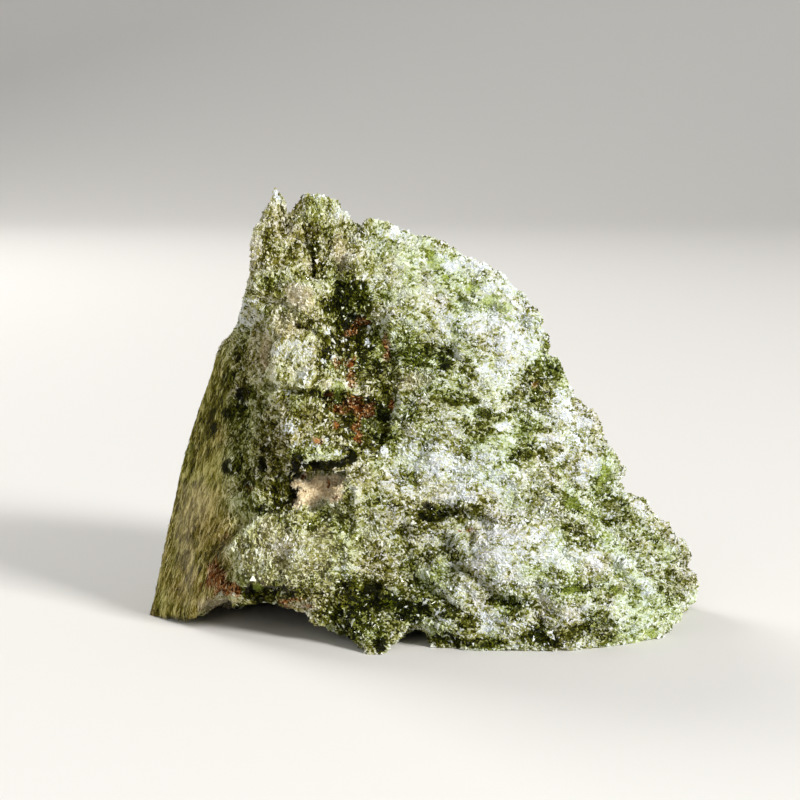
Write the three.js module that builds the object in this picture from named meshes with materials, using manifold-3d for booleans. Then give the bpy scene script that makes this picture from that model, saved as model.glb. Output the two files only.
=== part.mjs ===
// A rough piece of green diopside, broken on every side but its flat left face, as one solid.
// Millimetres, x to the right, y away from the front, z up. The corners are measured from a point on
// the ground below the front foot, and the finished stone is moved to stand on the middle of its box.
import * as THREE from "three";
import { ConvexGeometry } from "three/addons/geometries/ConvexGeometry.js";
import { ImprovedNoise } from "three/addons/math/ImprovedNoise.js";
import { TessellateModifier } from "three/addons/modifiers/TessellateModifier.js";
import { mergeVertices } from "three/addons/utils/BufferGeometryUtils.js";
import Module from "manifold-3d";

// Driving dimensions
const LONGEST_EDGE = 1.5; // of a surface triangle
const SPLITS = 14; // rounds of halving that bring every edge under that length
const MERGE_DISTANCE = 1e-4; // vertices nearer than this are one
const MIDDLE = new THREE.Vector3(-1, 13, 13.5); // every corner can be seen from here
const SWELL = { length: 7, height: 1 }; // the long waves of the broken faces
const BUMP = { length: 2.4, height: 0.72 }; // the lumps on them
const FLAT_DEPTH = 1.2; // how far behind the flat left face the waves and lumps are at full height
const FLAT_FROM = [5, 9]; // the y over which that face turns from rough to flat
const FLAT_UP_TO = [21, 24]; // the z over which it turns rough again
const FOOT_HEIGHT = 0.35; // the ground flattens what would reach lower than this
const STONE_GREEN = 0x9aa67e;

// The corners that the stone's surface passes through, by where they are on it
const corners = {
  leftFace: [
    [-21.4, 12.4, 0], [-20.1, 13, 5.8], [-18.9, 13.5, 11.2], [-17.7, 13.5, 15.2], [-16.1, 13.1, 19.5],
    [-14.5, 12.9, 23.4], [-12.2, 9.3, 21.5], [-11.5, 7, 17.6], [-10.4, 4.5, 14.3], [-10.1, 4.4, 11.4],
    [-12.8, 5.9, 9.4], [-15.2, 7.6, 6.3], [-15.4, 6.7, 3.8], [-14.9, 5.5, 2.2], [-17.8, 8.3, 0.8],
  ],
  upperBlock: [
    [-13.8, 10.4, 24.8], [-13.4, 9.6, 27.4], [-13, 9.6, 29.4], [-12.3, 9.9, 31.4], [-11.3, 10.3, 33.2],
    [-10.7, 9.8, 31.9], [-9.9, 9.9, 31.7], [-9.2, 9.7, 32.7], [-8.1, 9.7, 33.1], [-6.6, 10, 32.2],
    [-5.6, 10.5, 31.2], [-4.6, 11.3, 30.2], [-8, 8.9, 27.8], [-10.5, 8.4, 27.8], [-12.1, 8.7, 25.2],
    [-9.3, 7.8, 25.6], [-5.9, 8.9, 28.7], [-7.4, 9.2, 30.7], [-9.3, 8.9, 30.4], [-11.4, 8.9, 30],
    [-13.4, 14, 25], [-12.6, 13, 28.3], [-11.3, 12.6, 31.2],
  ],
  rightRim: [
    [-3.1, 12, 30.6], [-1.7, 12.4, 30.1], [1.3, 13, 28.4], [3.7, 13.2, 27.4], [6, 13.4, 26.7],
    [7.9, 13.4, 25], [9.5, 13.3, 23], [10.5, 13.2, 20.9], [11.3, 13, 18.4], [12.6, 12.6, 15.9],
    [13.8, 12.4, 13.5], [14.8, 12, 12.6], [15.8, 11.6, 11.3], [14.8, 11.9, 10.1], [16.9, 12.4, 8.4],
    [19.4, 13, 6], [21, 13.4, 4.4], [21.7, 13.6, 2.5], [21.5, 13.4, 0.8],
  ],
  knob: [
    [-10.3, 6.8, 21.8], [-7.9, 6.3, 22.4], [-6.6, 6.2, 20.7], [-10.5, 5.6, 19], [-8, 4.6, 18.6],
    [-6.3, 5.1, 17.2], [-10, 4.3, 16.2], [-7.5, 3.2, 15.8], [-5.9, 4.1, 15.1], [-9.9, 3.6, 13.8],
    [-7.5, 2.8, 13.4], [-5.4, 3.7, 13.6],
  ],
  cavity: [
    [-6.3, 8.5, 25], [-5, 9, 25.8], [-3.9, 8.8, 24.3], [-5.6, 8.7, 22.7], [-4.3, 8.5, 21.6],
    [-5.6, 7.5, 19.5], [-4.1, 7.7, 18.7], [-5, 6.9, 16.5], [-3.8, 6.2, 15.5], [-5.4, 5.1, 14.5],
  ],
  rightSlope: [
    [-3.6, 9.6, 27.7], [-2.4, 8.7, 24.9], [0.4, 9.7, 26], [3.4, 10.4, 24.8], [6.1, 11.2, 24.5],
    [-2, 7.9, 21.3], [1.1, 7.5, 21.7], [4.1, 8.5, 21.2], [7.6, 10.4, 21], [-1.7, 6.9, 18],
    [1.1, 6.6, 18.3], [4.5, 7.1, 17.6], [8.1, 9.4, 17.7], [9.7, 10.3, 16], [-1.7, 5.4, 14.9],
    [1.1, 5.3, 14.3], [4.8, 5.8, 14.1], [8.7, 8, 13.7], [11.9, 10.4, 13.3], [-2.4, 4.3, 12.1],
    [0.5, 4.4, 10.6], [3.3, 4.7, 11.1], [6.7, 5.6, 10.9], [10.2, 7.6, 10.7], [13.4, 10, 10.5],
  ],
  frontLobe: [
    [-1.8, 3.4, 9.3], [1.1, 2.9, 9.2], [4.7, 3.2, 9.8], [7.7, 3.8, 9.2], [11.1, 5.2, 9.3],
    [13.3, 5.9, 7.9], [15.2, 4.9, 5.8], [0, 3.3, 6.6], [2.9, 1.7, 7.2], [6.9, 1.2, 7], [9.8, 2.2, 6.4],
    [12.8, 2.8, 5.2], [16.8, 4.4, 3.8], [17.9, 4.6, 1.8], [2.2, 2.3, 4.7], [4.2, 2.1, 3.4],
    [7.6, 0.8, 4.6], [10.5, 0.9, 3.9], [13.4, 1.2, 3], [16.1, 2.6, 1.8], [0.3, 1.9, 4], [1.8, 0.8, 2],
    [5.8, 1.5, 1.5], [8.3, 0.4, 1], [12, 0.7, 0.9],
  ],
  rightLobe: [
    [14.9, 10.8, 7.7], [17, 11.2, 5.8], [18.2, 11.4, 4.2], [16.4, 10.6, 5.4], [20, 11.6, 3.3],
    [18.8, 10.8, 2.5], [20.7, 12, 1.6], [19.4, 10.6, 1.1], [18.8, 9, 2],
  ],
  paw: [
    [-12.4, 5.4, 9], [-9.2, 3.9, 9.5], [-6.6, 3.3, 9.6], [-4.6, 3.4, 9.9], [-14.3, 5.6, 7.2],
    [-10.3, 3.3, 7.2], [-6.9, 2.4, 7.4], [-4, 2.5, 7.2], [-15.2, 6.3, 5.5], [-12.9, 4.2, 4.7],
    [-9.9, 3, 4.6], [-7, 2.2, 4.7], [-3.7, 2.2, 4.7], [-1.8, 2.8, 5.7], [-12.1, 4.6, 3],
    [-10.4, 4.2, 2.6], [-8.8, 3.4, 2.4], [-7.6, 2.6, 1.4], [-13.9, 4.9, 3.5],
  ],
  foot: [
    [-5.8, 1.6, 2.8], [-3.3, 1, 2.7], [-1.5, 1.8, 3.3], [-5.9, 1.6, 1.3], [-2.9, 0.4, 1],
    [-1.5, 1.6, 1.6], [0, 1.6, 2.1], [-4, 0, 0], [-2.9, 0, 0], [-3.4, 4, 0], [-5, 2.5, 0],
  ],
  arch: [
    [-16.5, 12, 1.2], [-13.5, 9, 2.4], [-11, 12, 2], [-9, 8, 2.2], [-13, 16, 1], [-6, 7, 1.2],
    [-7, 13, 1.2], [-1.2, 3.5, 1], [0.2, 6, 0.9],
  ],
  base: [
    [-19.5, 16.5, 0], [-17, 15.5, 0], [-15.5, 19.5, 0], [-11, 22.5, 0], [-10, 19, 0], [-3, 22, 0],
    [1.1, 1.8, 0], [5.4, 1, 0], [12, 1.5, 0], [15.8, 3, 0], [17.9, 4.7, 0], [18.6, 9, 0], [20.9, 13.3, 0],
    [20, 17, 0], [13, 23, 0], [2, 24.5, 0], [2, 8, 0], [0, 16, 0.8], [7, 14, 0.9], [13, 16, 0.8],
    [-3, 9, 0],
  ],
  back: [
    [-15, 17, 20], [-18.5, 16.5, 9], [-10.5, 14.5, 31], [-6, 15, 30.5], [-2, 16.5, 29], [2, 17, 27],
    [6, 17.5, 24.5], [9, 18, 20], [12, 18.5, 14], [15, 17.5, 10], [19, 17, 5], [-12, 18.5, 25],
    [-7, 18, 27],
    [-1, 20, 22], [5, 20.5, 19], [-14, 20, 14], [-8, 22, 15], [0, 22.5, 13], [8, 21.5, 12], [-16, 20, 5],
    [-11, 23, 6], [-3, 22.5, 8], [3, 24.5, 5], [10, 23.5, 4], [15, 20.5, 5],
  ],
};

// The corners of the convex space that is broken out under the knob
const hollow = [
  [-10, 1, 13.4], [-4.9, 1, 13.5], [-9.1, 6.2, 12.8], [-5.9, 6.3, 13], [-9.6, 1, 9.4], [-5.2, 1, 11.8],
  [-8.8, 4.6, 10], [-6, 5, 12],
];

const wasm = await Module();
wasm.setup();

const vector = (place) => new THREE.Vector3(...place);

// The flat left face, through its lowest, its front and its highest corner
const LEFT_FACE = new THREE.Plane().setFromCoplanarPoints(
  vector(corners.leftFace[0]),
  vector(corners.leftFace[8]),
  vector(corners.leftFace[5]),
);

// The body whose surface joins the corners: two of them share an edge where their directions
// from the middle are neighbours on the sphere around it
function bodyThrough(points) {
  const directions = points.map((point) => point.clone().sub(MIDDLE).normalize());
  const geometry = new ConvexGeometry(directions);
  const position = geometry.getAttribute("position");
  const direction = new THREE.Vector3();
  for (let i = 0; i < position.count; i++) {
    direction.fromBufferAttribute(position, i);
    const nearness = directions.map((each) => each.dot(direction));
    const corner = points[nearness.indexOf(Math.max(...nearness))];
    position.setXYZ(i, corner.x, corner.y, corner.z);
  }
  return geometry;
}

// Equal vertices merged, so that only positions and triangles are left
function closed(geometry) {
  for (const name of ["normal", "uv"]) geometry.deleteAttribute(name);
  return mergeVertices(geometry, MERGE_DISTANCE);
}

function solid(geometry) {
  const merged = closed(geometry);
  return new wasm.Manifold(
    new wasm.Mesh({
      numProp: 3,
      vertProperties: new Float32Array(merged.attributes.position.array),
      triVerts: new Uint32Array(merged.index.array),
    }),
  );
}

function geometryOf(manifold) {
  const mesh = manifold.getMesh();
  return new THREE.BufferGeometry()
    .setAttribute("position", new THREE.BufferAttribute(mesh.vertProperties, 3))
    .setIndex(new THREE.BufferAttribute(mesh.triVerts, 1));
}

const perlin = new ImprovedNoise();

// Three Perlin noises, one for each axis and each read at a place of its own, make one smooth push
function push(point, { length, height }) {
  const { x, y, z } = point.clone().divideScalar(length);
  return new THREE.Vector3(
    perlin.noise(x + 3.7, y + 1.3, z + 8.1),
    perlin.noise(x + 11.2, y + 5.9, z + 2.4),
    perlin.noise(x + 7.5, y + 9.8, z + 4.6),
  ).multiplyScalar(height);
}

// 1 on the flat left face, 0 away from it and near its front and top edges
function flatness(point) {
  const { smoothstep } = THREE.MathUtils;
  const near = 1 - smoothstep(-LEFT_FACE.distanceToPoint(point), 0, FLAT_DEPTH);
  return near * smoothstep(point.y, ...FLAT_FROM) * (1 - smoothstep(point.z, ...FLAT_UP_TO));
}

function roughen(geometry) {
  const position = geometry.getAttribute("position");
  const point = new THREE.Vector3();
  for (let i = 0; i < position.count; i++) {
    point.fromBufferAttribute(position, i);
    const onGround = point.z < FOOT_HEIGHT;
    const change = push(point, SWELL).add(push(point, BUMP));
    point.addScaledVector(change, 1 - flatness(point));
    position.setXYZ(i, point.x, point.y, onGround ? 0 : Math.max(point.z, 0));
  }
  return geometry;
}

// The origin is moved to the middle of the box's bottom
function standing(geometry) {
  geometry.computeBoundingBox();
  const { min, max } = geometry.boundingBox;
  return geometry.translate(-(min.x + max.x) / 2, -(min.y + max.y) / 2, -min.z);
}

function stone() {
  const body = solid(bodyThrough(Object.values(corners).flat().map(vector)));
  const space = solid(new ConvexGeometry(hollow.map(vector)));
  const coarse = geometryOf(body.subtract(space));
  const fine = new TessellateModifier(LONGEST_EDGE, SPLITS).modify(coarse);
  return standing(roughen(closed(fine)));
}

const crystal = new THREE.Mesh(
  stone(),
  new THREE.MeshStandardMaterial({ color: STONE_GREEN, roughness: 0.75, metalness: 0, flatShading: true }),
);
crystal.name = "crystal";

const part = new THREE.Group();
part.add(crystal);
export default part;
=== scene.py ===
"""A rough piece of green diopside on a pale floor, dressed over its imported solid."""
import math

import bmesh
import bpy
import numpy as np
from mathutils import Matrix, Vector


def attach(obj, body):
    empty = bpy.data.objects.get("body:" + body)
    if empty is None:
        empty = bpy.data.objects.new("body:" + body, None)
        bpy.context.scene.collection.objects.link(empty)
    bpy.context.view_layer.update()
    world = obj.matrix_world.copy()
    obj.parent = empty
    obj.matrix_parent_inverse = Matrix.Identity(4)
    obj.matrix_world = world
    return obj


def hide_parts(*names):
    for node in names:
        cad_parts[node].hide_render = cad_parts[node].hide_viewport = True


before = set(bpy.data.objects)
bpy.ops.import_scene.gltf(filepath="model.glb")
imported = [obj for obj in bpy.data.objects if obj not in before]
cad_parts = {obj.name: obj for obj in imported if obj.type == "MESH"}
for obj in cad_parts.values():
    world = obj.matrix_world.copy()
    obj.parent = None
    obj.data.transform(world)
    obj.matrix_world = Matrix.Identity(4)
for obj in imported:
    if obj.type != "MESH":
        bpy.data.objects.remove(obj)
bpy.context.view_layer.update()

# Sizes, in millimetres in the solid's frame unless they say otherwise
MM = 0.001
MERGE_WITHIN = 0.001
GRID = 0.224  # side of the small squares that the stone's surface is made of
SOFTEN_ROUNDS = 2  # rounds that take the edge off the solid's flat triangles
SOFTEN_SHARE = 0.4  # of the way to the middle of a point's neighbours, in each round
GROUND_FADE = 0.8  # the roughness is at full height this far above the ground

# The flat left face: its outward direction, a point on it, and the line of its fine ribs
FACE_OUT = np.array([-0.744, -0.629, 0.226])
FACE_POINT = np.array([-21.48, -0.24, 0.0])
RIB_LINE = np.array([0.283, 0.02, 0.959])
FACE_DEPTHS = (0.4, 1.3)  # how far under its plane the face's finish starts to fade, and ends
FACE_FRONT = (-8.0, -4.5)  # between which places it starts, behind its front edge
FACE_TOP = (21.0, 24.0)  # between which heights it ends
ROUGH_FROM = (214, 238)  # the rougher strip along its front edge, in the picture's pixels
ROUGH_ABOVE = (500, 540)
ROUGH_SHARE = 0.8
RIBS = ((1.1, 0.09), (0.45, 0.05))  # width and height
RIB_CHANGE = 0.04  # how fast they change along their line, as a share of how fast they do across it

# Lumps of the broken faces: size, height, and how far the sides of a lump are tilted
LUMPS = ((4.2, 0.45, 1.0), (1.9, 0.5, 1.1), (0.95, 0.32, 1.2))
SUNK = 0.19  # how far the lumps' middle height is under the solid's surface
BACK_ROUGHNESS = 0.7  # how much higher the lumps are at the back
BACK_FACES = (8, 1.3, 1.1)  # the broad broken faces that are only at the back
SPLINTERS = (0.55, 0.14, 1.3)  # the smallest lumps, longer along the splinter lines
SPLINTER_STRETCH = 2.5
SEEN_FROM = (-0.35, -0.05)  # the cosine to the view between which the back ends and the front starts

# The lines of the splinters: upright at the left and top, level at the right foot, sloping between. A bound
# is the places to the right between which they change. It moves by its lean for each millimetre of height
UPRIGHT = np.array([0.12, 0.1, 1.0])
SLOPING = np.array([0.85, 0.25, -0.45])
LEVEL = np.array([1.0, 0.25, 0.08])
GRAIN_LINES = (UPRIGHT, LEVEL, SLOPING, RIB_LINE)
UPRIGHT_BOUND = (-7, -4)  # at UPRIGHT_HEIGHT
UPRIGHT_HEIGHT = 20
UPRIGHT_LEAN = 0.25
LEVEL_BOUND = (6, 10)  # at the ground
LEVEL_LEAN = 0.6

# Forms of the front, placed in the camera's frame of 800 by 800 pixels, with heights in millimetres.
# Their outlines wander by smooth waves, each with its size and reach in pixels
OUTLINE_WAVES = ((40, 5), (14, 3))
PIXELS_PER_MM = 13
# Swellings and dents: the middle's x and y, the half width and half height, and the height
SWELLINGS = (
    (302, 362, 30, 30, 0.7), (300, 425, 30, 30, 0.5), (300, 298, 26, 24, 0.4), (292, 545, 55, 30, 0.5),
    (520, 555, 60, 34, 0.6), (347, 496, 9, 9, 0.7), (378, 505, 34, 30, 0.4), (440, 430, 40, 34, 0.3),
    (425, 270, 50, 30, 0.3), (600, 610, 50, 26, 0.4), (562, 573, 24, 7, 0.25), (368, 385, 12, 10, 0.5),
    (318, 455, 24, 5, 0.4), (352, 320, 26, 26, -0.9), (370, 365, 24, 24, -0.6), (360, 412, 20, 18, -1.0),
    (330, 400, 16, 10, -0.6), (436, 352, 22, 9, -0.7), (433, 514, 22, 10, -0.9), (541, 632, 15, 12, -0.9),
    (372, 608, 34, 16, -0.7), (408, 590, 18, 22, -0.5), (505, 607, 24, 8, -0.7), (612, 515, 18, 20, -0.5),
    (240, 400, 12, 60, -0.35), (535, 375, 22, 16, -0.3), (505, 430, 34, 14, -0.3),
    (318, 525, 14, 16, -0.3), (265, 588, 22, 8, -0.5),
)
# Grooves and ridges: the half width in pixels, the height, then the x and y of the line's points
LINES = (
    (3.5, -0.7, ((302, 222), (308, 240), (314, 258), (316, 276))),
    (3, -0.3, ((284, 212), (286, 238))),
    (3, -0.3, ((327, 205), (331, 250))),
    (5, -0.6, ((360, 224), (352, 245), (345, 265), (338, 288))),
    (3.5, -0.5, ((297, 326), (310, 331), (325, 340), (330, 352))),
    (3.5, 0.4, ((289, 337), (277, 355), (275, 378), (274, 395))),
    (3.5, -0.5, ((270, 345), (268, 380), (261, 402), (262, 440), (266, 470))),
    (4, 0.5, ((258, 335), (257, 380), (254, 410), (254, 450))),
    (4, -0.9, ((299, 470), (298, 488), (289, 506))),
    (4, -0.8, ((318, 391), (334, 392), (346, 400), (352, 410))),
    (3.5, 0.5, ((322, 386), (340, 384), (352, 392), (364, 392), (371, 378))),
    (3.5, -0.25, ((449, 527), (467, 531), (476, 537), (473, 546), (479, 556), (488, 561))),
    (4.5, -0.55, ((452, 566), (467, 570), (481, 578), (487, 590), (494, 602), (508, 606), (528, 605),
                  (541, 622))),
    (3, 0.25, ((538, 559), (568, 556), (590, 562), (607, 572))),
    (3, 0.25, ((546, 583), (578, 585), (607, 574))),
    (3, -0.35, ((540, 588), (575, 591), (610, 582))),
    (5, 0.4, ((596, 546), (627, 564), (643, 578), (655, 594), (663, 612))),
    (5, -0.6, ((604, 500), (626, 542), (645, 570), (660, 592), (668, 620))),
    (3, -0.35, ((640, 560), (660, 566), (690, 562))),
    (3, -0.35, ((648, 574), (670, 580), (695, 576))),
    (3, -0.35, ((655, 589), (675, 594), (695, 590))),
    (4, -0.5, ((332, 507), (336, 530), (334, 556), (322, 580))),
    (4, -0.4, ((392, 470), (404, 500), (400, 530), (410, 560), (430, 590), (470, 620))),
    (3.5, -0.5, ((334, 586), (359, 582), (382, 594), (396, 602))),
    (3, -0.3, ((440, 262), (448, 285), (470, 310))),
    (3, -0.3, ((470, 275), (495, 298), (512, 312))),
    (3, -0.3, ((400, 345), (425, 342), (452, 350), (470, 365))),
    (3, -0.3, ((470, 405), (500, 412), (530, 408), (560, 420))),
    (3, -0.4, ((520, 470), (550, 490), (578, 505), (590, 520))),
)
# Ledges: the same, raised on the left of the line and sunk on its right
LEDGE_LIFT = 1.6  # raises a ledge's highest part to about two thirds of its height
LEDGES = (
    (7, 0.5, ((293, 507), (281, 514), (259, 518), (245, 525), (231, 541))),
    (6, 0.5, ((222, 577), (218, 548), (228, 530))),
    (6, 0.5, ((338, 288), (318, 284), (300, 282), (280, 290))),
    (7, 0.5, ((322, 338), (326, 360), (320, 384), (300, 394), (280, 392))),
    (6, 0.3, ((392, 300), (384, 330), (398, 360), (402, 395), (392, 430), (380, 450))),
    (6, 0.4, ((470, 300), (520, 318), (556, 345))),
    (6, 0.4, ((447, 503), (470, 515), (500, 520), (540, 512), (580, 525))),
    (6, 0.4, ((350, 500), (352, 520), (345, 560), (352, 585))),
)

# Grains: the least and most length in each layer of them, and what makes them differ
GRAIN_COUNT = 40000  # in a layer
GRAIN_LAYERS = {
    "coarse_grains": (0.32, 0.58), "middle_grains": (0.28, 0.5), "small_grains": (0.24, 0.42),
    "fine_grains": (0.21, 0.36), "finest_grains": (0.18, 0.32),
}
FRONT_SHARE = 2.5  # how many more of them lie on each part of the front than at the back
UNDERSIDE = -0.8  # none lie where the surface looks down more steeply than this
GRAIN_WIDTH = (0.45, 0.85)  # as a share of the length
GRAIN_HEIGHT = (0.25, 0.65)  # as a share of the width
GRAIN_TURN = 0.8  # how far they turn off their line on the surface, as a slope, at most MOST_TURN
MOST_TURN = 3
GRAIN_TIP = 0.2  # how far they tip out of the surface, as a slope
# The corners as shares of the length, width and height, three in the surface and one above it
GRAIN_SHAPE = ((-0.5, -0.45, -0.5), (0.5, -0.3, -0.5), (-0.1, 0.5, -0.5), (0.05, 0, 1))
GRAIN_SIDES = ((0, 2, 1), (0, 1, 3), (1, 2, 3), (2, 0, 3))
GRAIN_SHIFT = 0.18  # how far a corner may be moved, in the same shares
RIB_GRAIN_LENGTH = 2.4  # how much longer they are on the ribbed face
RIB_GRAIN_ORDER = 0.75  # how much less they turn and tip there
RIB_GRAIN_DROP = 0.4  # how much lower they are there
PAINTED_GLINT_CHANCE = 0.035  # of the grains in the dark places, the share painted white and larger, as painted glints
DARK_BETWEEN = (0.05, 0.35)  # the paleness between which a place counts as dark
PAINTED_GLINT_PALENESS = 1.2
PAINTED_GLINT_SIZE = 1.3
MAP_SHARE = 0.3  # the radius of a grain's corners on its map, as a share of its square there
SEED = 7  # of the first layer

# Peaks and dips of the top: the middle's x, y and z, the half width, and the height
PEAK_NARROWING = 0.6  # how much slower a peak falls off from front to back
PEAK_START = 2.5  # how far under its middle a peak starts
PEAKS = ((-11.35, -2.75, 31.6, 0.75, 1.9), (-10.1, -2.9, 32.0, 1.1, -1.3), (-8.9, -2.9, 31.6, 1.3, 0.9))

# Paleness, from 0 for green-black to 1 for white, and the size and strength of what changes it
BASE_PALENESS = 0.7
RIGHT_PAINTED_LIGHT = 0.06  # painted light: how much paler the stone is to the right of RIGHT_FROM, in pixels, where the key light falls
RIGHT_FROM = (330, 430)
LIT_SIDE_FROM = (300, 470)  # where the greens turn from the olive of the shaded left to the cool of the lit right, painted shade and light, in pixels
MOTTLE = ((5.5, 0.06), (2.3, 0.07))
STREAKS = ((0.9, 0.1), (0.42, 0.16), (0.18, 0.36))
BACK_MOTTLE = ((4.5, 0.22), (1.7, 0.22))
BACK_PALENESS = -0.08
MOST_PALE = 0.97
RELIEF_PAINTED_SHADE = 0.16  # painted light and shade: paler for each millimetre that the front's forms stand out, darker where they sink, within RELIEF_LIMITS
RELIEF_LIMITS = (-1.2, 0.8)
# how much paler the frosted places and their painted highlights are
FROST_AND_HIGHLIGHT_PALENESS = 0.35
# how much darker the dark patches and their painted shade are
DARK_AND_SHADE_PALENESS = 0.72

# Patches of colour on the front, in the same frame of pixels: the middle's x and y, the half width and half
# height, and the strength. A patch fades between the two squares of distance in PATCH_EDGE, in half widths,
# and its edge wanders by waves that have a size in millimetres and a reach in half widths
PATCH_WAVES = ((3.0, 0.45), (1.1, 0.45), (0.35, 0.35))
PATCH_EDGE = (0.4, 1.7)
# These patches are partly the stone's own dark green and partly painted shade: the black strip left of the
# tan plate, the underside of the knob's lip, the hollows along the left of the front, the shade under the
# lower lobes and at the foot, and the rim over the arch
DARK_AND_SHADE = (
    (352, 290, 14, 11, 0.9), (362, 305, 12, 10, 0.65), (335, 305, 18, 9, 0.7), (318, 322, 14, 4, 0.55),
    (302, 325, 8, 4, 0.7), (350, 325, 24, 14, 0.75), (345, 345, 24, 16, 0.8), (375, 330, 12, 10, 0.5),
    (330, 360, 12, 14, 0.5), (355, 365, 12, 12, 0.5), (370, 350, 14, 18, 0.65), (378, 375, 14, 14, 0.55),
    (385, 405, 8, 22, 0.85), (355, 400, 20, 12, 0.85), (325, 393, 20, 5, 1.0), (345, 425, 16, 12, 0.7),
    (370, 440, 16, 12, 0.65), (388, 430, 10, 12, 0.65), (310, 402, 12, 10, 0.55), (295, 392, 8, 8, 0.35),
    (415, 355, 20, 10, 0.5), (440, 352, 14, 8, 0.6), (447, 364, 9, 7, 0.9), (420, 365, 18, 5, 0.5),
    (400, 372, 16, 9, 0.45), (395, 358, 14, 14, 0.4), (465, 375, 10, 9, 0.4), (462, 398, 18, 7, 0.7),
    (440, 395, 10, 6, 0.4), (478, 425, 16, 12, 0.65), (490, 415, 14, 7, 0.65), (510, 415, 12, 5, 0.5),
    (530, 425, 14, 8, 0.55), (545, 432, 10, 4, 0.7), (430, 438, 12, 5, 0.45), (430, 445, 10, 10, 0.3),
    (463, 445, 10, 12, 0.55), (530, 452, 20, 10, 0.6), (512, 458, 6, 4, 0.7), (520, 392, 8, 8, 0.6),
    (545, 400, 14, 12, 0.5), (545, 375, 16, 12, 0.5), (535, 365, 10, 8, 0.5), (553, 365, 6, 14, 0.45),
    (552, 345, 8, 16, 0.3), (548, 330, 8, 10, 0.3), (411, 415, 10, 12, 0.35), (395, 440, 6, 14, 0.55),
    (410, 480, 10, 8, 0.4), (398, 498, 8, 10, 0.35), (470, 485, 7, 6, 0.35), (432, 513, 16, 10, 0.9),
    (460, 510, 10, 10, 0.6), (480, 512, 9, 10, 0.6), (410, 508, 8, 9, 0.45), (415, 525, 12, 8, 0.5),
    (396, 530, 8, 10, 0.6), (400, 548, 14, 10, 0.35), (425, 555, 12, 8, 0.45), (450, 550, 14, 7, 0.45),
    (455, 560, 8, 6, 0.6), (467, 572, 8, 3, 0.6), (410, 570, 12, 8, 0.45), (425, 585, 14, 10, 0.5),
    (425, 600, 16, 8, 0.6), (570, 507, 12, 9, 0.6), (572, 530, 12, 7, 0.45), (590, 545, 12, 9, 0.45),
    (530, 545, 12, 6, 0.35), (600, 488, 8, 10, 0.5), (610, 502, 14, 10, 0.35), (625, 520, 12, 16, 0.2),
    (610, 523, 8, 7, 0.4), (634, 541, 7, 8, 0.4), (648, 535, 10, 8, 0.2), (575, 590, 14, 6, 0.7),
    (612, 592, 10, 6, 0.7), (600, 602, 10, 5, 0.45), (635, 590, 5, 8, 0.35), (557, 572, 9, 5, 0.35),
    (592, 622, 22, 9, 0.45), (570, 632, 16, 8, 0.8), (600, 637, 18, 7, 0.7), (670, 584, 14, 12, 0.35),
    (672, 599, 12, 6, 0.6), (690, 577, 8, 5, 0.3), (345, 590, 10, 8, 0.8), (370, 588, 12, 7, 0.9),
    (360, 605, 26, 12, 0.9), (395, 606, 20, 9, 0.9), (425, 609, 16, 8, 0.9), (365, 592, 70, 30, 0.38),
    (450, 611, 14, 8, 0.8), (578, 430, 14, 30, 0.15), (400, 618, 24, 6, 0.9), (470, 626, 12, 12, 0.6),
    (455, 639, 22, 6, 1.0), (490, 643, 22, 5, 0.8), (506, 603, 20, 4, 0.5), (512, 612, 8, 6, 0.5),
    (537, 632, 12, 10, 0.8), (552, 641, 16, 6, 0.9), (345, 630, 14, 10, 0.7), (375, 636, 14, 8, 0.6),
    (380, 646, 6, 8, 1.0), (262, 591, 22, 11, 0.7), (255, 578, 14, 10, 0.45), (285, 591, 16, 8, 0.7),
    (300, 590, 12, 8, 0.5), (320, 606, 12, 12, 0.5), (325, 525, 12, 12, 0.4), (292, 522, 14, 8, 0.4),
    (290, 510, 8, 5, 0.4), (262, 512, 9, 6, 0.7), (347, 498, 7, 7, 0.6), (372, 502, 8, 4, 0.5),
    (345, 525, 14, 14, 0.25), (296, 485, 6, 22, 1.4), (282, 492, 12, 24, 0.75), (250, 480, 12, 14, 0.7),
    (232, 467, 9, 7, 0.9), (263, 463, 4, 12, 0.9), (247, 392, 9, 10, 1.0), (238, 352, 6, 7, 0.6),
    (228, 415, 7, 12, 0.7), (215, 429, 10, 7, 0.8), (228, 380, 8, 14, 0.4), (266, 405, 6, 24, 0.45),
    (267, 435, 9, 30, 0.45), (277, 462, 14, 12, 0.45), (290, 402, 8, 10, 0.4), (275, 412, 12, 12, 0.3),
    (246, 440, 14, 24, 0.4), (250, 505, 10, 6, 0.5), (240, 375, 12, 40, 0.3), (266, 242, 5, 14, 0.5),
    (268, 286, 8, 8, 0.4), (284, 229, 6, 8, 0.5), (295, 248, 8, 10, 0.4), (285, 265, 12, 12, 0.2),
    (317, 252, 5, 15, 0.7), (315, 273, 2.5, 3, 1.5), (330, 231, 9, 9, 0.4), (310, 226, 8, 10, 0.3),
    (348, 270, 10, 9, 0.3), (332, 268, 10, 12, 0.3), (320, 466, 26, 4.5, 1.3), (346, 463, 8, 6, 1.2),
    (350, 455, 6, 6, 1.1), (300, 466, 10, 5, 0.9), (312, 424, 28, 26, 0.5), (312, 446, 30, 12, 0.4),
    (250, 430, 16, 60, 0.35), (280, 470, 20, 30, 0.5), (245, 350, 12, 30, 0.3), (365, 622, 38, 28, 0.6),
    (330, 590, 40, 26, 0.25), (216, 606, 24, 6, 0.6), (203, 405, 20, 50, 0.2), (295, 552, 50, 30, 0.12),
    (430, 258, 5, 7, 0.4), (440, 270, 4, 7, 0.4), (447, 284, 3, 6, 0.5), (405, 250, 8, 4, 0.3),
    (418, 285, 10, 3, 0.3),
)
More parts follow.
